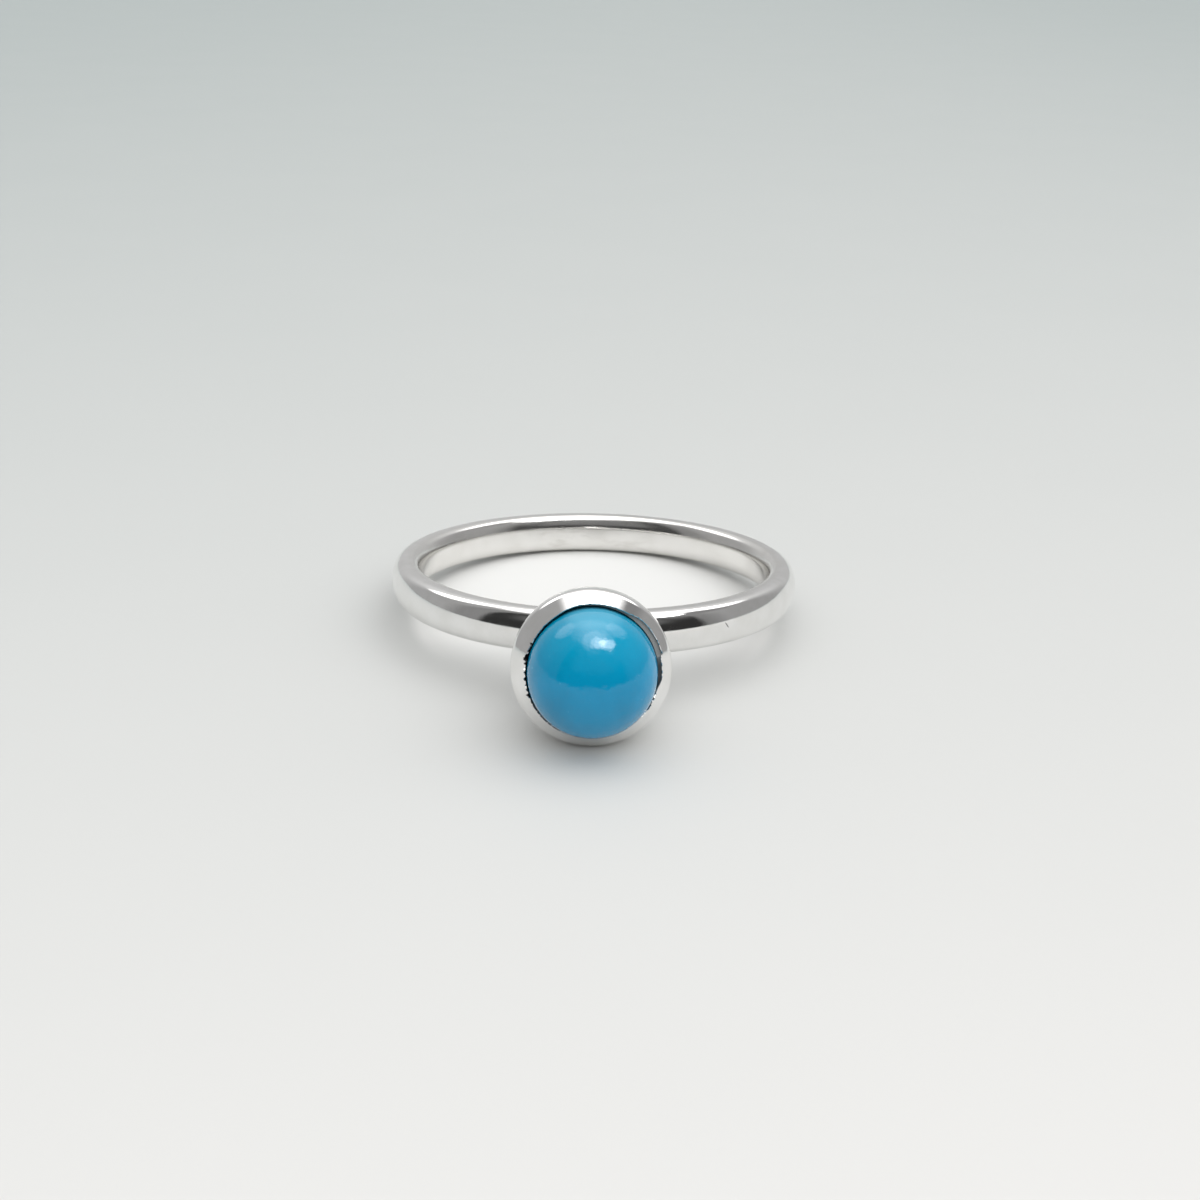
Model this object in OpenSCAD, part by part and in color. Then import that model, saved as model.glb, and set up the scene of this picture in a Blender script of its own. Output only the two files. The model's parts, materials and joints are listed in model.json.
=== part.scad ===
// A plain half-round band ring with a round cabochon in a bezel cup.
// It lies on its side as it would by itself: the cup's round side and the
// back of the band's lower edge touch the surface, and the stone faces -Y.
// The origin is on the surface, under the middle of the whole ring.

/* [Band] */
// Inside diameter of the band, about finger size six and three quarters
finger_d = 17; // [15:0.5:20]
// Width of the band along the finger
band_w = 2; // [1.95:0.05:2.15]
// Thickness of the band in the middle of its width
band_t = 1.45; // [1.45:0.05:1.7]
// Radius of the low crown along the middle of the outer face
crown_r = 1.6; // [1.6:0.1:1.7]
// Radius of the rounded shoulders of the outer face
shoulder_r = 0.53; // [0.52:0.01:0.54]
// Radius of the comfort edges inside the band
inner_edge_r = 0.72; // [0.52:0.05:0.72]

/* [Cup] */
// Outside diameter of the cup where it is widest
cup_d = 6.8; // [6.7:0.1:7.2]
// Height of the widest circle over the band's outer face
cup_stand = 3.2; // [3:0.05:3.2]
// How far the cup is soldered below the middle of the band
cup_drop = 0.3; // [0:0.05:0.4]
// How far the cup's face is turned up from square to the band, in degrees
cup_pitch = 4; // [0:1:6]
// Radius of the soft corner in front of the widest circle
rim_corner_r = 0.48; // [0.38:0.05:0.48]
// Angle of the burnished rim face from the plane of the stone's base
rim_slope = 50; // [45:5:55]
// Diameter of the lip's opening, where the metal meets the stone
lip_d = 5.75; // [5.7:0.05:5.85]
// Height of the lip's thin edge
lip_edge = 0.08; // [0.06:0.02:0.12]
// Radius of the hollow of the solder between the cup and the band
solder_r = 0.2; // [0.15:0.05:0.25]
// Share of the band's width that the solder covers
solder_share = 0.85; // [0.7:0.05:0.9]

/* [Stone] */
// Diameter of the cabochon
stone_d = 5.56; // [5.5:0.02:5.6]
// Height of the dome's middle over the cup's widest circle
dome_lift = 0.67; // [0.57:0.05:0.72]
// Height of the straight side under the dome
side_h = 1.05; // [0.85:0.1:1.15]
// Free space all round the stone in its seat
seat_gap = 0.04; // [0.03:0.01:0.05]

/* [Hidden] */
$fn = 128;

finger_r = finger_d / 2;
half_w = band_w / 2;
face_r = finger_r + band_t;             // outer face of the band
cup_r = cup_d / 2;
lip_r = lip_d / 2;
stone_r = stone_d / 2;
seat_r = stone_r + seat_gap;

// Where the crown's arc hands over to the shoulder's arc
meet_angle = asin((half_w - shoulder_r) / (crown_r - shoulder_r));
crown_x = face_r - crown_r;
shoulder_x = crown_x + (crown_r - shoulder_r) * cos(meet_angle);
shoulder_z = half_w - shoulder_r;
meet_x = crown_x + crown_r * cos(meet_angle);
meet_z = crown_r * sin(meet_angle);
edge_x = finger_r + inner_edge_r;
edge_z = half_w - inner_edge_r;

// The burnished face runs from the corner's end up to the lip
corner_end = [cup_r - rim_corner_r + rim_corner_r * sin(rim_slope), rim_corner_r * cos(rim_slope)];
lip_land = 0.04;                        // flat left by the burnisher on the lip's edge
lip_top = [lip_r + lip_land, corner_end[1] + (corner_end[0] - lip_r - lip_land) * tan(rim_slope)];
seat_floor = dome_lift - side_h - seat_gap;
seat_flare = 0.15;                      // where the seat starts to open towards the lip
cut_past = 1;                           // how far the seat's cut runs past the lip

// The solder's hollow dips a little into the bowl and under the band's face,
// so that it ends on both at a clear angle
solder_dip = 0.02;
solder_fall = 0.22;                     // how far the hollow reaches down over the band's crown
solder_floor = cup_stand + solder_fall;
hollow_y = solder_r - solder_floor;
hollow_x = sqrt(pow(cup_r + solder_r - solder_dip, 2) - hollow_y * hollow_y);
solder_top = hollow_y * cup_r / (cup_r + solder_r);
solder_sink = 0.4;                      // how deep the solder's solid reaches into the band

// The lying ring: the round of the cup and the band's rear lower shoulder
// both touch the surface, which sets the tilt and the height of its middle
cup_reach = face_r + cup_stand;
rest_span = cup_reach + shoulder_x;
rest_rise = cup_r - shoulder_r;
rest_lift = shoulder_z - cup_drop;
tilt = asin(rest_rise / norm([rest_span, rest_lift])) - atan2(rest_lift, rest_span);
middle_z = shoulder_x * sin(tilt) + shoulder_z * cos(tilt) + shoulder_r;
dome_u = cup_reach + dome_lift * cos(cup_pitch);
dome_drop = cup_drop - dome_lift * sin(cup_pitch);
dome_tip = dome_u * cos(tilt) + dome_drop * sin(tilt) + stone_r;
band_back = crown_x * cos(tilt) + crown_r;
middle_y = (dome_tip - band_back) / 2;

// Section of the band: x is the distance from the finger's axis
module band_section() {
    polygon([
        [finger_r, edge_z], [edge_x, half_w], [shoulder_x, half_w], [meet_x, meet_z],
        [meet_x, -meet_z], [shoulder_x, -half_w], [edge_x, -half_w], [finger_r, -edge_z]
    ]);
    for (side = [-1, 1]) {
        translate([edge_x, side * edge_z]) intersection() {
            circle(r = inner_edge_r);
            translate([-inner_edge_r, -inner_edge_r]) square([inner_edge_r, 2 * inner_edge_r]);
        }
        translate([shoulder_x, side * shoulder_z]) circle(r = shoulder_r);
    }
    intersection() {
        translate([crown_x, 0]) circle(r = crown_r);
        translate([shoulder_x, -meet_z]) square([crown_r, 2 * meet_z]);
    }
}

// Half section of the cup: x is the distance from the stone's axis and
// y rises towards the stone, from 0 at the widest circle
module cup_section() {
    intersection() {
        circle(r = cup_r);
        translate([0, -cup_r]) square([cup_r, cup_r]);
    }
    intersection() {
        translate([cup_r - rim_corner_r, 0]) circle(r = rim_corner_r);
        translate([0, -rim_corner_r]) square([cup_r, rim_corner_r + corner_end[1]]);
    }
    polygon([
        [0, -rim_corner_r], [cup_r - rim_corner_r, -rim_corner_r], [cup_r - rim_corner_r, 0],
        corner_end, lip_top, [lip_r, lip_top[1] - lip_land], [0, lip_top[1] - lip_land]
    ]);
}

// Half section of the stone's seat, opened through the lip
module seat_section() {
    under_lip = lip_top[1] - lip_land - lip_edge;
    polygon([
        [0, seat_floor], [seat_r, seat_floor], [seat_r, seat_flare],
        [lip_r, under_lip], [lip_r, lip_top[1] + cut_past], [0, lip_top[1] + cut_past]
    ]);
}

// Half section of the solder, with the hollow that its surface tension leaves
module solder_section() {
    bottom = -solder_floor - solder_sink;
    difference() {
        translate([0, bottom]) square([hollow_x, solder_top - bottom]);
        translate([hollow_x, hollow_y]) circle(r = solder_r);
    }
}

// Turns a shape made about +Z so that its axis points straight out of the band at the cup's place
module at_cup() {
    translate([0, -cup_reach, -cup_drop]) rotate([90, 0, 0]) children();
}

// The same, with the axis turned up as the cup's face is
module at_face() {
    at_cup() rotate([-cup_pitch, 0, 0]) children();
}

// Lays the upright ring down on the surface
module lay_down() {
    translate([0, middle_y, middle_z]) rotate([-tilt, 0, 0]) children();
}

// The solder stays within the band's width
module solder() {
    solder_w = band_w * solder_share;
    intersection() {
        at_cup() rotate_extrude() solder_section();
        translate([-cup_r, -cup_reach, -solder_w / 2]) cube([cup_d, cup_reach, solder_w]);
    }
}

// The band, the cup and the solder between them, one piece of silver
module band_and_bezel() {
    color("silver") lay_down() difference() {
        union() {
            rotate_extrude() band_section();
            at_face() rotate_extrude() cup_section();
            solder();
        }
        at_face() rotate_extrude() seat_section();
    }
}

// The cabochon: a flat base, a straight side and a half ball
module cabochon() {
    color("deepskyblue") lay_down() at_face() {
        translate([0, 0, dome_lift]) rotate_extrude() union() {
            intersection() {
                circle(r = stone_r);
                square(stone_r);
            }
            translate([0, -side_h]) square([stone_r, side_h]);
        }
    }
}

band_and_bezel();
cabochon();
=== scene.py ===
"""A silver band ring with a round turquoise cabochon, lying on its side on a pale table.

The ring is drawn upright, with its finger axis along Z and the stone facing -Y,
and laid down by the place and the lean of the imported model's finger bore.
"""
import json
import math

import bmesh
import bpy
from bpy.props import FloatProperty, FloatVectorProperty, IntProperty, PointerProperty
from mathutils import Matrix, Vector, noise


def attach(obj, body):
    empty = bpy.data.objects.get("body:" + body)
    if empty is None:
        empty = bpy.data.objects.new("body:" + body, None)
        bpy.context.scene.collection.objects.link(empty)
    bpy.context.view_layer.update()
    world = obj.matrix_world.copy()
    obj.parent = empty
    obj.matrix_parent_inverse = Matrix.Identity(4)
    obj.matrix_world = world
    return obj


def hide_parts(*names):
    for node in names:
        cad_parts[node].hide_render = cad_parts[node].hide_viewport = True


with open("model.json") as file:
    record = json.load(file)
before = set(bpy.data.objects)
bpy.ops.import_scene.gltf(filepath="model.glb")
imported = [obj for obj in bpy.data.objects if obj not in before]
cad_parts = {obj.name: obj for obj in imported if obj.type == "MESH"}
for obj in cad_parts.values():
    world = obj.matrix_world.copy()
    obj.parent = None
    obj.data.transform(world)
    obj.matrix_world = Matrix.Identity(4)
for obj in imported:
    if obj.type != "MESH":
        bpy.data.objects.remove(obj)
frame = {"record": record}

bl_info = {
    "name": "Turquoise Ring",
    "version": (1, 0, 0),
    "blender": (4, 5, 0),
    "location": "View3D > Sidebar > Turquoise Ring",
    "description": "Builds a silver ring with a turquoise cabochon on a plain table",
    "category": "Add Mesh",
}

MM = 0.001
DEG = math.pi / 180
BODY = "root"

# Edges that turn by more than this stay crisp
CRISP = 32 * DEG

# Settings of the nodes that are used most: a soft step, and a mix of two colours with the output it has
STEP = {"interpolation_type": "SMOOTHSTEP"}
BLEND = {"data_type": "RGBA", "out": 2}

# The band's node tree: each input's name and the setting that it takes
BAND_INPUTS = {
    "Inside radius": "finger_r",
    "Face radius": "face_r",
    "Half width": "half_w",
    "Crown radius": "crown_r",
    "Shoulder radius": "shoulder_r",
    "Worn radius": "worn_r",
    "Edge radius": "edge_r",
    "Turn": "turn",
    "Steps": "sweep_steps",
}

# The band's node tree: each size that follows from the inputs, as an operation on those before it.
# The crown's arc hands over to the shoulder's where their common tangent touches both. Inside the band
# a gentle curve runs into a tighter edge, and both touch the line that leaves at the turn.
BAND_STEPS = (
    ("free", "SUBTRACT", "Half width", "Shoulder radius"),
    ("spare", "SUBTRACT", "Crown radius", "Shoulder radius"),
    ("sine", "DIVIDE", "free", "spare"),
    ("lean", "ARCSINE", "sine"),
    ("cosine", "COSINE", "lean"),
    ("behind", "SUBTRACT", "Face radius", "Crown radius"),
    ("middle", "SUBTRACT", "behind", "Inside radius"),
    ("peak", "DIVIDE", "Crown radius", "cosine"),
    ("peak x", "ADD", "middle", "peak"),
    ("fall", "MULTIPLY", "Half width", "sine"),
    ("left over", "SUBTRACT", "Crown radius", "fall"),
    ("side", "DIVIDE", "left over", "cosine"),
    ("side x", "ADD", "middle", "side"),
    ("low", "MULTIPLY", "Half width", -1.0),
    ("half turn", "MULTIPLY", "Turn", 0.5),
    ("turn slope", "TANGENT", "half turn"),
    ("gentle", "MULTIPLY", "Worn radius", "turn slope"),
    ("rest", "SUBTRACT", math.pi / 2, "Turn"),
    ("half rest", "MULTIPLY", "rest", 0.5),
    ("rest slope", "TANGENT", "half rest"),
    ("tight", "MULTIPLY", "Edge radius", "rest slope"),
    ("line", "ADD", "gentle", "tight"),
    ("turn sine", "SINE", "Turn"),
    ("edge x", "MULTIPLY", "line", "turn sine"),
    ("turn cosine", "COSINE", "Turn"),
    ("back", "MULTIPLY", "line", "turn cosine"),
    ("worn z", "SUBTRACT", "Half width", "back"),
    ("worn low", "MULTIPLY", "worn z", -1.0),
)

# The band's half-round section, corner by corner: outwards, upwards, radius, points on the round
BAND_CORNERS = (
    (0.0, "worn low", "Worn radius", 8),
    ("edge x", "low", "Edge radius", 9),
    ("side x", "low", "Shoulder radius", 12),
    ("peak x", 0.0, "Crown radius", 24),
    ("side x", "Half width", "Shoulder radius", 12),
    ("edge x", "Half width", "Edge radius", 9),
    (0.0, "worn z", "Worn radius", 8),
)

# How far the lip was pressed outwards, in mm, over stretches of the clock: amount, where it fades in,
# where it fades out. It stands off at the upper right, ends there in a small step, and hugs the stone
# elsewhere, most of all at the lower right.
PRESSED = (
    (0.09, 28, 44, 74, 77),
    (-0.06, 93, 104, 325, 350),
    (-0.07, 95, 106, 140, 170),
    (-0.04, 235, 255, 300, 340),
)

# How torn the lip's edge is over stretches of the clock, on top of a faint tearing all round
TORN = (
    (0.88, 238, 250, 292, 306),
    (0.3, 98, 104, 150, 160),
)

# The solder's outline as ellipses, in mm: half width, half height, how far down, how deep in the metal
BAND_SINKS = ((0.6, 0.4, 0.08, 0.3), (1.3, 0.76, 0.08, 0.15))
FOOT = (1.36, 0.82, 0.08, 0.012)
NOOK = (1.0, 0.63, 0.1, -0.01)
BROW = (1.62, 1.18, 0.1, 0.012)
BOWL_SINKS = ((1.5, 1.08, 0.1, 0.15), (0.6, 0.4, 0.1, 0.5))

# The studio's walls as the ring mirrors them. Each row is a pale stretch: how it joins the rows before,
# the bearing of its middle, where it changes to either side and from what to what, and where it changes
# upwards and from what share to what. Bearing 0 is the viewer's side and turns to the right, in degrees.
WALLS = (
    ("ADD", 180, 113, 119, 0.2, 0.0, -90, 0, 1.0, 1.0),
    ("ADD", 180, 95, 113, 1.0, 0.0, 34, 48, 0.11, 0.0),
    ("ADD", -180, 113, 119, 0.22, 0.0, -90, 0, 1.0, 1.0),
    ("ADD", -180, 88, 102, 0.13, 0.0, -90, 0, 1.0, 1.0),
    ("ADD", 0, 118, 150, 0.0, 1.0, 8, 58, 0.18, 0.6),
    ("MAXIMUM", -55, 25, 55, 0.45, 1.0, 50, 68, 0.0, 0.8),
    ("MAXIMUM", 180, 120, 145, 1.0, 0.0, 22, 50, 0.0, 0.2),
    ("MAXIMUM", 0, 32, 56, 0.14, 0.0, 18, 32, 0.0, 1.0),
)

# The studio's lamps as the ring mirrors them, and the soft light that falls on everything:
# bearing, elevation, half angle and softness in degrees, and strength
LAMPS = (
    (180, 78, 22, 13, 1.5),
    (30, 84, 18, 7, 2.4),
    (66, 66, 10, 5, 9.0),
    (38, 75, 9, 5, 6.2),
    (133, 50, 11, 5, 1.8),
    (-130, 44, 12, 5, 1.8),
)
SOFT_LAMPS = (
    (40, 78, 34, 20, 1.45),
    (90, 42, 24, 14, 0.9),
    (-90, 42, 24, 14, 0.5),
    (35, 45, 22, 14, 0.6),
)
DARKEST_WALL = 0.03
SOFT_SKY = 0.5


def linear(code):
    """sRGB hex such as 'F4F2EE' as a linear RGBA colour."""
    levels = [int(code[i:i + 2], 16) / 255 for i in (0, 2, 4)]
    return tuple(v / 12.92 if v <= 0.04045 else ((v + 0.055) / 1.055) ** 2.4 for v in levels) + (1.0,)


def length(name, description, millimetres):
    """A length setting, stated in millimetres and kept in metres."""
    metres = millimetres * MM
    return FloatProperty(name=name, description=description, default=metres, unit="LENGTH", precision=6)


def angle(name, description, degrees):
    """An angle setting, stated in degrees and kept in radians."""
    return FloatProperty(name=name, description=description, default=degrees * DEG, subtype="ANGLE")


def paint(name, description, code):
    """A colour setting, stated as sRGB hex and kept linear."""
    colour = linear(code)
    return FloatVectorProperty(name=name, description=description, default=colour, subtype="COLOR", size=4)


class RingSilverSettings(bpy.types.PropertyGroup):
    """Sizes and colours of the band, the cup and the solder between them."""
    finger_r: length("Inside radius", "Radius of the band's inside", 8.5)
    face_r: length("Face radius", "Radius of the middle of the band's outer face", 9.95)
    half_w: length("Half width", "Half of the band's width", 1.0)
    crown_r: length("Crown radius", "Radius of the low crown along the outer face", 1.6)
    shoulder_r: length("Shoulder radius", "Radius of the outer face's rounded shoulders", 0.53)
    worn_r: length("Worn radius", "Radius of the gentle curve inside the band, next to its middle", 1.0)
    edge_r: length("Edge radius", "Radius of the rounded edges inside the band", 0.43)
    turn: angle("Turn", "Where the gentle curve inside the band hands over to the rounded edge", 35)
    sweep_steps: IntProperty(name="Sweep steps", description="Steps round the band", default=360, min=64)
    cup_r: length("Cup radius", "Radius of the cup where it is widest", 3.4)
    cup_reach: length("Cup reach", "Distance of the widest circle from the finger's axis", 13.15)
    cup_drop: length("Cup drop", "How far the cup sits below the middle of the band", 0.3)
    cup_pitch: angle("Cup pitch", "How far the cup's face is turned up", 4)
    cup_shift: length("Cup shift", "How far the cup is off the band's middle, to the right", -0.04)
    corner_r: length("Corner radius", "Radius of the soft corner in front of the widest circle", 0.48)
    slope: angle("Rim slope", "Angle of the burnished face from the stone's base", 50)
    lip_r: length("Lip radius", "Radius of the lip's opening", 2.875)
    lip_shift: length("Lip shift", "How far the hand-burnished lip is off the cup's axis, to the right", 0.06)
    lip_edge: length("Lip edge", "Height of the lip's thin edge", 0.06)
    lip_land: length("Lip land", "Width of the lip's rounded edge", 0.04)
    tear: length("Lip tear", "Depth of the small teeth torn in the lip", 0.23)
    tear_reach: length("Tear reach", "How far behind the lip the teeth fade out", 0.16)
    seat_r: length("Seat radius", "Radius of the stone's seat", 2.8)
    ledge: length("Ledge", "Height of the narrow ledge between the lip and the stone", 0.55)
    seat_floor: length("Seat floor", "Height of the seat's floor over the widest circle", -0.42)
    cup_steps: IntProperty(name="Cup steps", description="Steps round the cup", default=720, min=64)
    wobble: length("Polishing wobble", "How uneven the hand-polished metal is", 0.004)
    polished: paint("Polished silver", "Colour of the silver where it is brightest", "F3F2F1")
    handled: paint("Handled silver", "Colour of the silver where it is a little duller", "EBEAE8")
    satin: paint("Satin silver", "Colour that the inside of the band leans to", "E4E2DE")
    # The next colour is dull leftover polish below the lip and painted shade of that recess
    residue_and_shade: paint("Residue", "Colour of the dull residue below the lip", "545250")


class RingStoneSettings(bpy.types.PropertyGroup):
    """Sizes and colours of the cabochon, which is a little narrower than high, as a hand-cut stone is."""
    half_across: length("Half width", "Half of the stone's width", 2.73)
    half_high: length("Half height", "Half of the stone's height", 2.75)
    dome_h: length("Dome height", "Height of the dome over the straight side", 2.74)
    dome_lift: length("Dome lift", "Height of the dome's middle over the cup's widest circle", 0.67)
    side_h: length("Side height", "Height of the straight side under the dome", 1.05)
    shift_x: length("Shift right", "How far the stone sits off the band's middle, to the right", 0.02)
    shift_y: length("Shift up", "How far the stone sits off the cup's axis, upwards", -0.04)
    wobble: length("Cutting wobble", "How uneven the hand-cut dome is", 0.005)
    deep: paint("Deep turquoise", "The stone's deeper clouds", "0083AE")
    light: paint("Light turquoise", "The stone's lighter clouds", "028BB8")
    # Painted light: the stone's upper part is lighter because more light falls on it from above
    upper: paint("Upper turquoise", "The upper part of the stone", "028EB2")
    fleck: paint("Flecks", "The small pale flecks", "6CC4DC")


class RingStageSettings(bpy.types.PropertyGroup):
    """The table, the backdrop and the camera."""
    table_r: length("Table radius", "Radius of the table", 1500)
    near: paint("Near table", "Table's colour by the viewer", "D7D6D4")
    far: paint("Far table", "Table's colour far off", "9BA3A2")
    lit: paint("Lit table", "Table's colour where the silver throws light on it", "F4F3F1")
    backdrop: paint("Backdrop", "Colour of the plain backdrop over the table", "C5CBCB")
    distance: length("Distance", "Distance of the camera from the ring's middle", 80)
    elevation: angle("Elevation", "Height of the camera over the table", 23.36)
    azimuth: angle("Azimuth", "How far the camera stands to the left of the ring's axis", 0.28)
    roll: angle("Roll", "How far the picture is turned", 1.333)
    right: length("Right", "How far the camera is moved to its right", 0.335)
    up: length("Up", "How far the camera is moved up", -1.164)
    lens: FloatProperty(
        name="Lens", description="Focal length for a 36 mm sensor", default=48.26, unit="CAMERA",
    )


# Helpers for places, nodes and pieces

def ring_place():
    """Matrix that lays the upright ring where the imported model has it."""
    bore = next(m for m in frame["record"]["mounts"] if m["name"] == "finger_bore")
    lean = math.atan2(bore["axis"][1], bore["axis"][2])
    return Matrix.Translation(bore["pos_m"]) @ Matrix.Rotation(-lean, 4, "X")


def face_place(ring):
    """Matrix from the cup's own axes (X right, Y up, Z out of the face) to the upright ring's."""
    out = Matrix.Translation((ring.cup_shift, -ring.cup_reach, -ring.cup_drop))
    return out @ Matrix.Rotation(math.pi / 2 - ring.cup_pitch, 4, "X")


def smooth(value, start, end):
    """0 before start, 1 after end, and a soft step between them."""
    t = min(max((value - start) / (end - start), 0), 1)
    return t * t * (3 - 2 * t)


def feed(tree, node, inputs):
    """Links or sets a node's inputs, listed in order or in a dictionary by name or number."""
    named = inputs if isinstance(inputs, dict) else dict(enumerate(inputs))
    for key, value in named.items():
        if isinstance(value, bpy.types.NodeSocket):
            tree.links.new(value, node.inputs[key])
        else:
            node.inputs[key].default_value = value


def add(tree, kind, inputs=(), out=0, **settings):
    """Adds a node with its settings and inputs and gives one of its outputs, or the node if out is None."""
    node = tree.nodes.new(kind)
    for name, value in settings.items():
        setattr(node, name, value)
    feed(tree, node, inputs)
    return node if out is None else node.outputs[out]


def new_material(name):
    """An empty material with its output node and a Principled shader: (material, tree, shader)."""
    material = bpy.data.materials.new(name)
    material.use_nodes = True
    tree = material.node_tree
    tree.nodes.clear()
    shader = add(tree, "ShaderNodeBsdfPrincipled", out=None)
    add(tree, "ShaderNodeOutputMaterial", {"Surface": shader.outputs[0]}, out=None)
    return material, tree, shader


def finished(build, name):
    """The mesh of a bmesh whose faces are turned outwards."""
    bmesh.ops.recalc_face_normals(build, faces=build.faces[:])
    mesh = bpy.data.meshes.new(name)
    build.to_mesh(mesh)
    build.free()
    return mesh


def place_piece(mesh, name, material, node):
    """Lays the upright ring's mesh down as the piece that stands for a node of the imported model."""
    mesh.shade_smooth()
    mesh.set_sharp_from_angle(angle=CRISP)
    mesh.transform(ring_place())
    mesh.materials.clear()
    mesh.materials.append(material)
    mesh.update()
    piece = bpy.data.objects.new(name, mesh)
    bpy.context.scene.collection.objects.link(piece)
    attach(piece, BODY)
    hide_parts(node)


def evaluated(obj):
    """The mesh that an object's modifiers make."""
    graph = bpy.context.evaluated_depsgraph_get()
    graph.update()
    return bpy.data.meshes.new_from_object(obj.evaluated_get(graph), depsgraph=graph)


# The silver: band, cup and solder

def band_tree(material):
    """Geometry Nodes: the half-round section, with its seven rounded corners, swept round the finger."""
    tree = bpy.data.node_groups.new("band_sweep", "GeometryNodeTree")
    face = tree.interface
    face.new_socket("Geometry", in_out="INPUT", socket_type="NodeSocketGeometry")
    for name in BAND_INPUTS:
        kind = "NodeSocketInt" if name == "Steps" else "NodeSocketFloat"
        face.new_socket(name, in_out="INPUT", socket_type=kind)
    face.new_socket("Geometry", in_out="OUTPUT", socket_type="NodeSocketGeometry")
    given = add(tree, "NodeGroupInput", out=None).outputs
    sizes = {name: given[name] for name in BAND_INPUTS}
    for name, operation, *terms in BAND_STEPS:
        terms = [sizes.get(term, term) for term in terms]
        sizes[name] = add(tree, "ShaderNodeMath", terms, operation=operation)

    # Each column of the table of corners becomes a switch by the corner's number
    number = add(tree, "GeometryNodeInputIndex")
    columns = []
    for kind, column in zip(("FLOAT", "FLOAT", "FLOAT", "INT"), zip(*BAND_CORNERS)):
        switch = add(tree, "GeometryNodeIndexSwitch", out=None, data_type=kind)
        for _ in column[2:]:
            switch.index_switch_items.new()
        feed(tree, switch, [number] + [sizes.get(value, value) for value in column])
        columns.append(switch.outputs[0])
    across, along, rounding, points = columns

    spot = add(tree, "ShaderNodeCombineXYZ", {"X": across, "Y": along})
    row = add(tree, "GeometryNodeMeshLine", {"Count": len(BAND_CORNERS), "Offset": (MM, 0.0, 0.0)})
    moved = add(tree, "GeometryNodeSetPosition", {"Geometry": row, "Position": spot})
    curve = add(tree, "GeometryNodeMeshToCurve", {"Mesh": moved})
    closed = add(tree, "GeometryNodeSetSplineCyclic", {"Geometry": curve, "Cyclic": True})
    rounds = {"Curve": closed, "Count": points, "Radius": rounding}
    section = add(tree, "GeometryNodeFilletCurve", rounds, mode="POLY")
    round_finger = {"Resolution": sizes["Steps"], "Radius": sizes["Inside radius"]}
    circle = add(tree, "GeometryNodeCurvePrimitiveCircle", round_finger)
    sweep = add(tree, "GeometryNodeCurveToMesh", {"Curve": circle, "Profile Curve": section})
    merged = add(tree, "GeometryNodeMergeByDistance", {"Geometry": sweep, "Distance": 0.0005 * MM})
    real = add(tree, "GeometryNodeRealizeInstances", {"Geometry": merged})
    painted = add(tree, "GeometryNodeSetMaterial", {"Geometry": real, "Material": material})
    add(tree, "NodeGroupOutput", {"Geometry": painted}, out=None)
    return tree


def band_mesh(ring, material):
    """The swept band as a mesh of its own."""
    holder = bpy.data.objects.new("band_holder", bpy.data.meshes.new("band_holder"))
    bpy.context.scene.collection.objects.link(holder)
    sweep = holder.modifiers.new("sweep", "NODES")
    sweep.node_group = band_tree(material)
    for item in sweep.node_group.interface.items_tree:
        if item.in_out == "INPUT" and item.name in BAND_INPUTS:
            sweep[item.identifier] = getattr(ring, BAND_INPUTS[item.name])
    mesh = evaluated(holder)
    bpy.data.objects.remove(holder)
    return mesh


def arc(middle, radius, start, end, steps):
    """Points of an arc in the half section, from start to end in degrees."""
    turn = [(start + (end - start) * i / steps) * DEG for i in range(steps + 1)]
    return [(middle[0] + radius * math.cos(a), middle[1] + radius * math.sin(a)) for a in turn]


def straight(start, end, steps):
    """Points between start and end, both left out."""
    return [tuple(start[k] + (end[k] - start[k]) * i / steps for k in (0, 1)) for i in range(1, steps)]


def turned(section, steps, shape):
    """Closed mesh turned about Z from a half section that starts and ends on the axis.

    shape(clock, radius, height) gives a point's place; clock runs clockwise from the top, in degrees.
    """
    build = bmesh.new()
    rings = []
    for radius, height in section[1:-1]:
        row = [build.verts.new(shape(360 * i / steps, radius, height)) for i in range(steps)]
        rings.append(row)
    first = build.verts.new((0, 0, section[0][1]))
    last = build.verts.new((0, 0, section[-1][1]))
    for i in range(steps):
        j = (i + 1) % steps
        build.faces.new((first, rings[0][i], rings[0][j]))
        for one, two in zip(rings, rings[1:]):
            build.faces.new((one[i], two[i], two[j], one[j]))
        build.faces.new((rings[-1][j], rings[-1][i], last))
    return finished(build, "turned")


def stretches(table, clock):
    """Sum of a table's amounts at a clock angle, each faded in and out over its stretch."""
    total = 0
    for amount, start, full, fading, end in table:
        total += amount * smooth(clock, start, full) * (1 - smooth(clock, fading, end))
    return total


def lip_offset(clock):
    """How far the hand-burnished lip is off its circle at a clock angle, in metres: more is outwards."""
    side = Vector((math.sin(clock * DEG) * 2.2, math.cos(clock * DEG) * 2.2, 3.7))
    return (stretches(PRESSED, clock) + 0.012 * noise.noise(side)) * MM


def lip_teeth(clock):
    """How deep the lip's small teeth are at a clock angle, from 0: deep on the left, faint elsewhere."""
    tooth = noise.noise(Vector((clock / 2.7, 0.3, 8.2))) + 0.4 * noise.noise(Vector((clock / 1.2, 5.1, 1.9)))
    return (0.12 + stretches(TORN, clock)) * max(tooth, 0)


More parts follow.
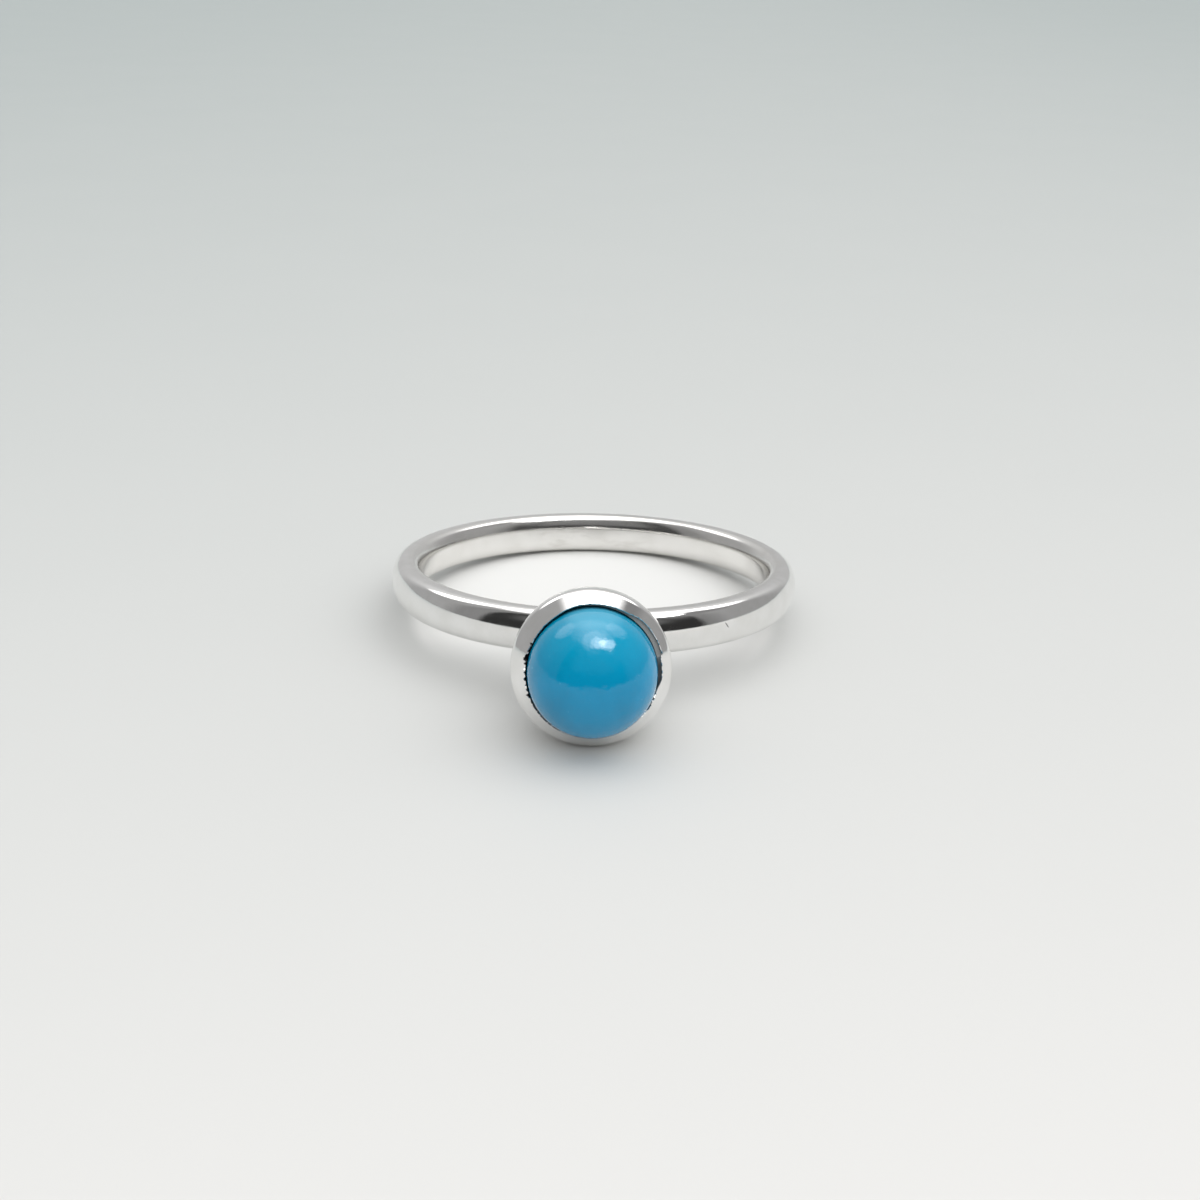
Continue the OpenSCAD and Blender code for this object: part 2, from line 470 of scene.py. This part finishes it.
def cup_mesh(ring):
    """The bowl, its soft corner, the burnished face, the lip and the stone's seat."""
    slope = math.tan(ring.slope)
    land = ring.lip_land
    corner = arc((ring.cup_r - ring.corner_r, 0), ring.corner_r, 0, 90 - ring.slope / DEG, 10)
    face_r, face_height = corner[-1]
    top = (ring.lip_r + land, face_height + (face_r - ring.lip_r - land) * slope)
    section = arc((0, 0), ring.cup_r, -90, 0, 40) + corner[1:] + straight(corner[-1], top, 14)
    section += [
        top,
        (ring.lip_r + 0.4 * land, top[1] - 0.1 * land),
        (ring.lip_r, top[1] - land),
        (ring.lip_r, top[1] - land - ring.lip_edge),
        (ring.seat_r, ring.ledge),
        (ring.seat_r, ring.seat_floor),
        (0, ring.seat_floor),
    ]
    moved_from = 0.4 * MM
    slack = 0.01 * MM

    def shape(clock, radius, height):
        """A point of the cup with the lip's unevenness, which fades out towards the corner."""
        side = Vector((math.sin(clock * DEG), math.cos(clock * DEG), 0))
        if height > moved_from and radius > ring.lip_r - slack:
            share = smooth(face_r - radius, 0, face_r - top[0])
            offset = (lip_offset(clock) + ring.lip_shift * side.x) * share
            near_lip = 1 - smooth(radius, ring.lip_r, ring.lip_r + ring.tear_reach)
            offset += lip_teeth(clock) * ring.tear * near_lip
            radius += offset
            height -= offset * slope
        return side * radius + Vector((0, 0, height))

    mesh = turned(section, ring.cup_steps, shape)
    mesh.transform(face_place(ring))
    return mesh


def solder_mesh(ring, steps=160, levels=14):
    """The solder's small saddle, hollow between the bowl and the band, closed inside both."""

    def on_bowl(x, z, sink):
        """Point of the bowl over a place of the band's face, sunk into the metal."""
        out = Vector((x, 0, z + ring.cup_drop))
        out.y = math.sqrt((ring.cup_r - sink) ** 2 - out.length_squared)
        return Vector((out.x + ring.cup_shift, out.y - ring.cup_reach, out.z - ring.cup_drop))

    def on_band(x, z, sink):
        """Point of the band's outer face in front of a place, sunk into the metal."""
        mid = ring.half_w - ring.shoulder_r
        turn = math.asin(mid / (ring.crown_r - ring.shoulder_r))
        radius, centre, height = ring.crown_r, ring.face_r - ring.crown_r, abs(z)
        if height > ring.crown_r * math.sin(turn):
            radius = ring.shoulder_r
            centre += (ring.crown_r - ring.shoulder_r) * math.cos(turn)
            height -= mid
        face = centre + math.sqrt((radius - sink) ** 2 - height * height)
        return Vector((x, -math.sqrt(face * face - x * x), z))

    def along(surface, ellipse, turn):
        """Point of an ellipse, drawn on one of the two surfaces."""
        half_w, half_h, down, sink = ellipse
        return surface(half_w * math.cos(turn) * MM, (half_h * math.sin(turn) - down) * MM, sink * MM)

    build = bmesh.new()
    rows = [[] for _ in range(len(BAND_SINKS) + levels + 1 + len(BOWL_SINKS))]
    for i in range(steps):
        turn = 2 * math.pi * i / steps
        foot = along(on_band, FOOT, turn)
        nook = along(on_band, NOOK, turn)
        brow = along(on_bowl, BROW, turn)
        column = [along(on_band, ellipse, turn) for ellipse in BAND_SINKS]
        for level in range(levels + 1):
            t = level / levels
            column.append(foot * (1 - t) ** 2 + nook * 2 * t * (1 - t) + brow * t * t)
        column += [along(on_bowl, ellipse, turn) for ellipse in BOWL_SINKS]
        for row, point in zip(rows, column):
            row.append(build.verts.new(point))
    for one, two in zip(rows, rows[1:]):
        for i in range(steps):
            j = (i + 1) % steps
            build.faces.new((one[i], one[j], two[j], two[i]))
    build.faces.new(rows[0])
    build.faces.new(rows[-1])
    return finished(build, "solder")


def joined(meshes):
    """One closed mesh from several closed ones that meet."""
    holders = [bpy.data.objects.new("part", mesh) for mesh in meshes]
    for holder in holders:
        bpy.context.scene.collection.objects.link(holder)
    for other in holders[1:]:
        union = holders[0].modifiers.new("union", "BOOLEAN")
        union.operation = "UNION"
        union.solver = "MANIFOLD"
        union.object = other
    mesh = evaluated(holders[0])
    for holder in holders:
        bpy.data.objects.remove(holder)
    return mesh


def unevenness(mesh, amount, spacing, seed):
    """Moves each point along its normal by a soft noise, as hand polishing leaves it."""
    normals = [vert.normal.copy() for vert in mesh.vertices]
    for vert, normal in zip(mesh.vertices, normals):
        place = vert.co / spacing + Vector((seed, seed * 1.7, seed * 0.3))
        vert.co += normal * amount * noise.noise(place)


def seen_from(tree, place):
    """The piece's own coordinates, measured from a place on it and along that place's axes."""
    spot = add(tree, "ShaderNodeTexCoord", out="Object")
    inputs = {"Vector": spot, "Location": place.translation, "Rotation": place.to_euler()}
    return add(tree, "ShaderNodeMapping", inputs, vector_type="TEXTURE")


def off_axis(tree, spot):
    """Distance of a point from the Z axis."""
    flat = add(tree, "ShaderNodeVectorMath", (spot, (1, 1, 0)), operation="MULTIPLY")
    return add(tree, "ShaderNodeVectorMath", (flat,), out="Value", operation="LENGTH")


def crevice_nodes(tree, ring):
    """Mask of the crevice below the lip, and the colour there: dull leftover polish darkened as painted shade
    of the recess, paler at the top as painted light.

    The burnished face is a cone, so the crevice is what lies deeper than the cone, near the stone.
    """
    inside = seen_from(tree, ring_place() @ face_place(ring))
    axes = add(tree, "ShaderNodeSeparateXYZ", (inside,), out=None).outputs
    disc = off_axis(tree, inside)
    slope = math.tan(ring.slope)
    face_r = ring.cup_r - ring.corner_r * (1 - math.sin(ring.slope))
    cone_top = ring.corner_r * math.cos(ring.slope) + face_r * slope
    fallen = add(tree, "ShaderNodeMath", (disc, slope, axes["Z"]), operation="MULTIPLY_ADD")
    depth = add(tree, "ShaderNodeMath", (cone_top, fallen), operation="SUBTRACT")
    deep = add(tree, "ShaderNodeMapRange", (depth, 0.03 * MM, 0.07 * MM), **STEP)
    high = add(tree, "ShaderNodeMapRange", (axes["Z"], -0.6 * MM, -0.5 * MM), **STEP)
    bounds = (disc, ring.lip_r + 0.2 * MM, ring.lip_r + 0.28 * MM, 1.0, 0.0)
    close = add(tree, "ShaderNodeMapRange", bounds, **STEP)
    mask = add(tree, "ShaderNodeMath", (deep, high), operation="MULTIPLY")
    mask = add(tree, "ShaderNodeMath", (mask, close), operation="MULTIPLY")
    # Painted light: the crevice's grey is paler towards the top, where more light falls
    upper = add(tree, "ShaderNodeMapRange", (axes["Y"], 0.2 * MM, 0.9 * MM), **STEP)
    colour = add(tree, "ShaderNodeMix", {0: upper, 6: tuple(ring.residue_and_shade), 7: linear("8A8A88")}, **BLEND)
    return mask, colour


def nick_mask(tree, spot):
    """Mask of the one small nick on the band's face, to the right of the cup.

    Each direction is divided by the nick's half size there, so its edge fades near 1 mm all round.
    """
    middle = Vector((6.04, -7.9, 0.07)) * MM
    half_sizes = (0.2, 0.3, 0.035)
    off = add(tree, "ShaderNodeVectorMath", (spot, middle), operation="SUBTRACT")
    turn = {"Vector": off, "Rotation": (0, 52 * DEG, 37 * DEG)}
    off = add(tree, "ShaderNodeMapping", turn, vector_type="TEXTURE")
    off = add(tree, "ShaderNodeVectorMath", (off, [1 / half for half in half_sizes]), operation="MULTIPLY")
    off = add(tree, "ShaderNodeVectorMath", (off,), out="Value", operation="LENGTH")
    return add(tree, "ShaderNodeMapRange", (off, 0.6 * MM, 1.1 * MM, 0.75, 0.0), **STEP)


def silver_material(ring):
    """Sterling silver, polished by hand: near-white mirrors with fine hairlines, softer inside the band.

    Below the lip the polishing mop can't reach, so dull grey leftover polish stays there; its grey is also
    painted shade of that recess, paler at the top as painted light.
    """
    material, tree, shader = new_material("polished_sterling_silver")
    spot = seen_from(tree, ring_place())
    bounds = (off_axis(tree, spot), ring.finger_r + 0.5 * MM, ring.finger_r + 0.8 * MM, 1.0, 0.0)
    inner = add(tree, "ShaderNodeMapRange", bounds, **STEP)
    crevice, residue_and_shade = crevice_nodes(tree, ring)

    # Hairlines from the mop, 16 to a mm where real ones are finer; dull clouds and ripples of 1 and 0.4 mm
    rubbed = add(tree, "ShaderNodeVectorMath", (spot, (0.08, 0.08, 1.0)), operation="MULTIPLY")
    lines = add(tree, "ShaderNodeTexNoise", {"Vector": rubbed, "Scale": 16 / MM, "Detail": 3.0})
    cloud = add(tree, "ShaderNodeTexNoise", {"Vector": spot, "Scale": 0.9 / MM, "Detail": 4.0})
    ripple = add(tree, "ShaderNodeTexNoise", {"Vector": spot, "Scale": 2.6 / MM, "Detail": 3.0})
    rough = add(tree, "ShaderNodeMapRange", (cloud, 0.35, 0.7, 0.05, 0.11), **STEP)
    rough = add(tree, "ShaderNodeMath", (inner, 0.1, rough), operation="MULTIPLY_ADD")
    scored = add(tree, "ShaderNodeMapRange", (lines, 0.4, 0.75, 0.0, 0.03), **STEP)
    rough = add(tree, "ShaderNodeMath", (rough, scored), operation="ADD")
    dull = add(tree, "ShaderNodeMath", (crevice, 0.6), operation="MULTIPLY")
    rough = add(tree, "ShaderNodeMath", (rough, dull), operation="MAXIMUM")

    # Faint warm smudges inside the band, drawn out along it and strongest at the back
    drawn = add(tree, "ShaderNodeVectorMath", (spot, (0.35, 0.35, 1.0)), operation="MULTIPLY")
    smear = add(tree, "ShaderNodeTexNoise", {"Vector": drawn, "Scale": 2.2 / MM, "Detail": 4.0})
    smear = add(tree, "ShaderNodeMapRange", (smear, 0.54, 0.72, 0.0, 0.22), **STEP)
    beside = add(tree, "ShaderNodeSeparateXYZ", (spot,), out="X")
    beside = add(tree, "ShaderNodeMath", (beside,), operation="ABSOLUTE")
    beside = add(tree, "ShaderNodeMapRange", (beside, 2.5 * MM, 4.5 * MM, 1.0, 0.25), **STEP)
    smudge = add(tree, "ShaderNodeMath", (inner, beside), operation="MULTIPLY")
    smudge = add(tree, "ShaderNodeMath", (smudge, smear), operation="MULTIPLY")

    satin = add(tree, "ShaderNodeMath", (inner, 0.5), operation="MULTIPLY")
    cloudy = add(tree, "ShaderNodeMapRange", (cloud, 0.3, 0.7), **STEP)
    layers = (
        (cloudy, tuple(ring.handled)),
        (satin, tuple(ring.satin)),
        (smudge, linear("9A948A")),
        (nick_mask(tree, spot), linear("3A3836")),
        # Painted shade of the crevice below the lip, with its dull leftover polish
        (crevice, residue_and_shade),
    )
    tone = tuple(ring.polished)
    for share, colour in layers:
        tone = add(tree, "ShaderNodeMix", {0: share, 6: tone, 7: colour}, **BLEND)

    # The bump: hairlines and ripples, with calmer ripples inside the band
    height = add(tree, "ShaderNodeMath", (inner, 0.1, 0.12), operation="MULTIPLY_ADD")
    height = add(tree, "ShaderNodeMath", (lines, height), operation="MULTIPLY")
    calm = add(tree, "ShaderNodeMath", (inner, -1.1, 1.4), operation="MULTIPLY_ADD")
    height = add(tree, "ShaderNodeMath", (ripple, calm, height), operation="MULTIPLY_ADD")
    bump = add(tree, "ShaderNodeBump", {"Strength": 0.3, "Distance": 0.004 * MM, "Height": height})
    metal = add(tree, "ShaderNodeMath", (1.0, crevice), operation="SUBTRACT")
    feed(tree, shader, {"Base Color": tone, "Roughness": rough, "Normal": bump, "Metallic": metal})
    return material


# The stone

def stone_mesh(ring, stone):
    """A high dome over a straight side and a flat base."""
    build = bmesh.new()
    bmesh.ops.create_icosphere(build, subdivisions=7, radius=1)
    everything = build.verts[:] + build.edges[:] + build.faces[:]
    level = {"plane_co": (0, 0, 0), "plane_no": (0, 0, 1)}
    bmesh.ops.bisect_plane(build, geom=everything, dist=1e-5, clear_inner=True, **level)
    for vert in build.verts:
        soft = noise.noise(vert.co * 1.6) + 0.5 * noise.noise(vert.co * 3.7)
        swell = 1 + stone.wobble / stone.dome_h * soft * smooth(vert.co.z, 0, 0.3)
        vert.co = Vector((
            vert.co.x * stone.half_across * swell,
            vert.co.y * stone.half_high * swell,
            vert.co.z * stone.dome_h * swell + stone.dome_lift,
        ))
    edges = [edge for edge in build.edges if edge.is_boundary]
    wall = bmesh.ops.extrude_edge_only(build, edges=edges)["geom"]
    for vert in (item for item in wall if isinstance(item, bmesh.types.BMVert)):
        vert.co.z -= stone.side_h
    bmesh.ops.holes_fill(build, edges=[edge for edge in build.edges if edge.is_boundary], sides=0)
    mesh = finished(build, "stone")
    mesh.transform(face_place(ring) @ Matrix.Translation((stone.shift_x - ring.cup_shift, stone.shift_y, 0)))
    return mesh


def stone_material(stone):
    """Turquoise, polished to a glassy gloss: even sky blue with slight clouds and a few pale flecks."""
    material, tree, shader = new_material("polished_turquoise_cabochon")
    spot = add(tree, "ShaderNodeTexCoord", out="Object")

    # Clouds of 2 mm, flecks of 0.2 mm, and a ripple of 0.6 mm from the cutting
    cloud = add(tree, "ShaderNodeTexNoise", {"Vector": spot, "Scale": 0.5 / MM, "Detail": 4.0})
    grain = add(tree, "ShaderNodeTexNoise", {"Vector": spot, "Scale": 6 / MM, "Detail": 2.0})
    ripple = add(tree, "ShaderNodeTexNoise", {"Vector": spot, "Scale": 1.8 / MM, "Detail": 3.0})
    up = add(tree, "ShaderNodeSeparateXYZ", (spot,), out="Z")
    layers = (
        ((cloud, 0.35, 0.65), tuple(stone.light)),
        # Painted light: lighter towards the top, where light falls from above
        ((up, 3.5 * MM, 6.0 * MM), tuple(stone.upper)),
        # Painted reflection: a pale cap on the very top, where the overhead light is mirrored
        ((up, 5.85 * MM, 6.15 * MM, 0.0, 0.4), linear("6AB8D2")),
        ((grain, 0.72, 0.8, 0.0, 0.35), tuple(stone.fleck)),
    )
    body = tuple(stone.deep)
    for bounds, colour in layers:
        share = add(tree, "ShaderNodeMapRange", bounds, **STEP)
        body = add(tree, "ShaderNodeMix", {0: share, 6: body, 7: colour}, **BLEND)
    rough = add(tree, "ShaderNodeMapRange", (grain, 0.3, 0.7, 0.06, 0.1), **STEP)
    bump = add(tree, "ShaderNodeBump", {"Strength": 0.8, "Distance": 0.03 * MM, "Height": ripple})
    feed(tree, shader, {"Base Color": body, "Roughness": rough, "Normal": bump, "IOR": 1.5})
    return material


# The stage: table, studio and camera

def table_material(stage):
    """Smooth matt card: warm white by the viewer, and cooler and darker far off, where less light falls."""
    material, tree, shader = new_material("smooth_matt_card")
    spot = add(tree, "ShaderNodeTexCoord", out="Object")
    axes = add(tree, "ShaderNodeSeparateXYZ", (spot,), out=None).outputs

    # The light's share falls with the distance ahead of the near edge, and more softly towards the
    # viewer and to either side of the middle. All of these are in metres.
    falloff = 0.1
    ahead = add(tree, "ShaderNodeMath", (axes["Y"], 0.04), operation="ADD")
    ahead = add(tree, "ShaderNodeMath", (ahead, 0.0), operation="MAXIMUM")
    ahead = add(tree, "ShaderNodeMath", (ahead, falloff), operation="ADD")
    kept = add(tree, "ShaderNodeMath", (falloff, ahead), operation="DIVIDE")
    before = add(tree, "ShaderNodeMath", (-0.05, axes["Y"]), operation="SUBTRACT")
    before = add(tree, "ShaderNodeMath", (before, 0.0), operation="MAXIMUM")
    beside = add(tree, "ShaderNodeMath", (axes["X"], 0.04), operation="SUBTRACT")
    for away, reach in ((before, 0.12), (beside, 0.18)):
        square = add(tree, "ShaderNodeMath", (away, away, reach ** 2), operation="MULTIPLY_ADD")
        share = add(tree, "ShaderNodeMath", (reach ** 2, square), operation="DIVIDE")
        kept = add(tree, "ShaderNodeMath", (kept, share), operation="MULTIPLY")
    lost = add(tree, "ShaderNodeMath", (1.0, kept), operation="SUBTRACT")

    # The card is faintly cloudy, in patches of 1 to 2 cm
    grain = add(tree, "ShaderNodeTexNoise", {"Vector": spot, "Scale": 60.0, "Detail": 3.0})
    grain = add(tree, "ShaderNodeMapRange", (grain, 0.2, 0.8, -0.008, 0.008), **STEP)
    lost = add(tree, "ShaderNodeMath", (lost, grain), operation="ADD")
    tone = add(tree, "ShaderNodeMix", {0: lost, 6: tuple(stage.near), 7: tuple(stage.far)}, **BLEND)

    # The light that the silver throws onto the card inside the ring, which a render's few bounces miss
    middle = (0.0, ring_place().translation.y, 0.0)
    off = add(tree, "ShaderNodeVectorMath", (spot, middle), operation="SUBTRACT")
    off = add(tree, "ShaderNodeVectorMath", (off,), out="Value", operation="LENGTH")
    thrown = add(tree, "ShaderNodeMapRange", (off, 8.6 * MM, 9.4 * MM, 0.42, 0.0), **STEP)
    seen = add(tree, "ShaderNodeMapRange", (axes["Y"], -3.0 * MM, 1.0 * MM), **STEP)
    thrown = add(tree, "ShaderNodeMath", (thrown, seen), operation="MULTIPLY")
    tone = add(tree, "ShaderNodeMix", {0: thrown, 6: tone, 7: tuple(stage.lit)}, **BLEND)
    feed(tree, shader, {"Base Color": tone, "Roughness": 0.6, "Specular IOR Level": 0.2})
    return material


def lit_by(tree, level, direction, lamps):
    """A level of light with the round, soft-edged lamps of a table added to it."""
    for bearing, elevation, half_angle, softness, strength in lamps:
        out = math.cos(elevation * DEG)
        middle = (out * math.sin(bearing * DEG), -out * math.cos(bearing * DEG), math.sin(elevation * DEG))
        near = add(tree, "ShaderNodeVectorMath", (direction, middle), out="Value", operation="DOT_PRODUCT")
        edges = [math.cos((half_angle + side * softness) * DEG) for side in (1, -1)]
        lamp = add(tree, "ShaderNodeMapRange", (near, *edges), **STEP)
        level = add(tree, "ShaderNodeMath", (lamp, strength, level), operation="MULTIPLY_ADD")
    return level


def mirrored_studio(tree, direction):
    """The level of light that the polished silver and the stone mirror, by direction."""
    axes = add(tree, "ShaderNodeSeparateXYZ", (direction,), out=None).outputs
    elevation = add(tree, "ShaderNodeMath", (axes["Z"],), operation="ARCSINE")
    elevation = add(tree, "ShaderNodeMath", (elevation, 1 / DEG), operation="MULTIPLY")
    forward = add(tree, "ShaderNodeMath", (axes["Y"], -1.0), operation="MULTIPLY")
    bearing = add(tree, "ShaderNodeMath", (axes["X"], forward), operation="ARCTAN2")
    bearing = add(tree, "ShaderNodeMath", (bearing, 1 / DEG), operation="MULTIPLY")
    level = 0.0
    for join, middle, near, far, one, two, bottom, top, low, high in WALLS:
        aside = add(tree, "ShaderNodeMath", (bearing, middle), operation="SUBTRACT")
        aside = add(tree, "ShaderNodeMath", (aside,), operation="ABSOLUTE")
        wall = add(tree, "ShaderNodeMapRange", (aside, near, far, one, two), **STEP)
        rise = add(tree, "ShaderNodeMapRange", (elevation, bottom, top, low, high), **STEP)
        wall = add(tree, "ShaderNodeMath", (wall, rise), operation="MULTIPLY")
        level = add(tree, "ShaderNodeMath", (level, wall), operation=join)
    level = add(tree, "ShaderNodeMath", (level, DARKEST_WALL), operation="ADD")
    return lit_by(tree, level, direction, LAMPS)


def studio_light(stage):
    """A plain studio: white panels overhead, grey side walls, a pale wall behind and a dark room in front.

    What the ring mirrors is kept apart from the soft light that falls on the table and the ring,
    because the photographer's lamps are small and sharp in the metal and yet cast soft shadows.
    """
    world = bpy.data.worlds.new("studio")
    world.use_nodes = True
    tree = world.node_tree
    tree.nodes.clear()
    direction = add(tree, "ShaderNodeTexCoord", out="Generated")
    mirror = mirrored_studio(tree, direction)
    soft = lit_by(tree, SOFT_SKY, direction, SOFT_LAMPS)
    path = add(tree, "ShaderNodeLightPath", out=None).outputs
    direct = add(tree, "ShaderNodeMath", (path["Diffuse Depth"], 0.5), operation="LESS_THAN")
    mirrored = add(tree, "ShaderNodeMath", (path["Is Glossy Ray"], direct), operation="MULTIPLY")
    apart = add(tree, "ShaderNodeMath", (mirror, soft), operation="SUBTRACT")
    level = add(tree, "ShaderNodeMath", (mirrored, apart, soft), operation="MULTIPLY_ADD")
    glow = add(tree, "ShaderNodeBackground", {"Color": (1, 1, 1, 1), "Strength": level})
    plain = add(tree, "ShaderNodeBackground", {"Color": tuple(stage.backdrop), "Strength": 1.0})
    mixed = add(tree, "ShaderNodeMixShader", (path["Is Camera Ray"], glow, plain))
    add(tree, "ShaderNodeOutputWorld", {"Surface": mixed}, out=None)
    bpy.context.scene.world = world


def table_piece(stage):
    """A plain round table top."""
    build = bmesh.new()
    bmesh.ops.create_circle(build, cap_ends=True, segments=128, radius=stage.table_r)
    mesh = bpy.data.meshes.new("table")
    build.to_mesh(mesh)
    build.free()
    mesh.materials.append(table_material(stage))
    table = bpy.data.objects.new("table", mesh)
    bpy.context.scene.collection.objects.link(table)


def camera_piece(stage):
    """The camera, standing in front of the ring and looking down at it."""
    data = bpy.data.cameras.new("camera")
    data.sensor_width = 36
    data.lens = stage.lens
    data.clip_start = MM
    data.clip_end = 10
    camera = bpy.data.objects.new("camera", data)
    bpy.context.scene.collection.objects.link(camera)
    level = Vector((-math.sin(stage.azimuth), -math.cos(stage.azimuth), 0))
    back = level * math.cos(stage.elevation) + Vector((0, 0, math.sin(stage.elevation)))
    right = Vector((0, 0, 1)).cross(back).normalized()
    up = back.cross(right)
    turn = Matrix((right, up, back)).transposed().to_4x4() @ Matrix.Rotation(stage.roll, 4, "Z")
    spot = ring_place().translation + back * stage.distance + right * stage.right + up * stage.up
    camera.matrix_world = Matrix.Translation(spot) @ turn
    bpy.context.scene.camera = camera


# Operators, panel and registration

class RING_OT_stage(bpy.types.Operator):
    """Set up the table, the studio light and the camera"""
    bl_idname = "ring.stage"
    bl_label = "Stage"

    def execute(self, context):
        stage = context.scene.ring_stage
        table_piece(stage)
        studio_light(stage)
        camera_piece(stage)
        context.scene.view_settings.view_transform = "Standard"
        return {"FINISHED"}


class RING_OT_silver(bpy.types.Operator):
    """Build the silver band, cup and solder as one piece"""
    bl_idname = "ring.silver"
    bl_label = "Silver"

    def execute(self, context):
        ring = context.scene.ring_silver
        material = silver_material(ring)
        parts = [band_mesh(ring, material), cup_mesh(ring), solder_mesh(ring)]
        faces = sum(len(part.polygons) for part in parts)
        mesh = joined(parts)
        if len(mesh.polygons) < faces / 2:
            raise RuntimeError("the band, the cup and the solder did not join")
        unevenness(mesh, ring.wobble, 1.6 * MM, 4.0)
        place_piece(mesh, "silver_ring", material, "band_and_bezel")
        return {"FINISHED"}


class RING_OT_stone(bpy.types.Operator):
    """Build the turquoise cabochon"""
    bl_idname = "ring.stone"
    bl_label = "Cabochon"

    def execute(self, context):
        stone = context.scene.ring_stone
        mesh = stone_mesh(context.scene.ring_silver, stone)
        place_piece(mesh, "turquoise_cabochon", stone_material(stone), "cabochon")
        return {"FINISHED"}


class RING_PT_panel(bpy.types.Panel):
    """Buttons for the stage and the ring's pieces"""
    bl_label = "Turquoise Ring"
    bl_idname = "RING_PT_panel"
    bl_space_type = "VIEW_3D"
    bl_region_type = "UI"
    bl_category = "Turquoise Ring"

    def draw(self, context):
        for operator in (RING_OT_stage, RING_OT_silver, RING_OT_stone):
            self.layout.operator(operator.bl_idname)


SETTINGS = (RingSilverSettings, RingStoneSettings, RingStageSettings)
CLASSES = SETTINGS + (RING_OT_stage, RING_OT_silver, RING_OT_stone, RING_PT_panel)


def register():
    """Registers the classes and puts the settings on the scene."""
    for item in CLASSES:
        bpy.utils.register_class(item)
    bpy.types.Scene.ring_silver = PointerProperty(type=RingSilverSettings)
    bpy.types.Scene.ring_stone = PointerProperty(type=RingStoneSettings)
    bpy.types.Scene.ring_stage = PointerProperty(type=RingStageSettings)


def unregister():
    """Takes the settings and the classes away again."""
    del bpy.types.Scene.ring_stage
    del bpy.types.Scene.ring_stone
    del bpy.types.Scene.ring_silver
    for item in reversed(CLASSES):
        bpy.utils.unregister_class(item)


def main():
    """Builds the scene."""
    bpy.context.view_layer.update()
    register()
    bpy.ops.ring.stage()
    bpy.ops.ring.silver()
    bpy.ops.ring.stone()


if __name__ == "__main__":
    main()
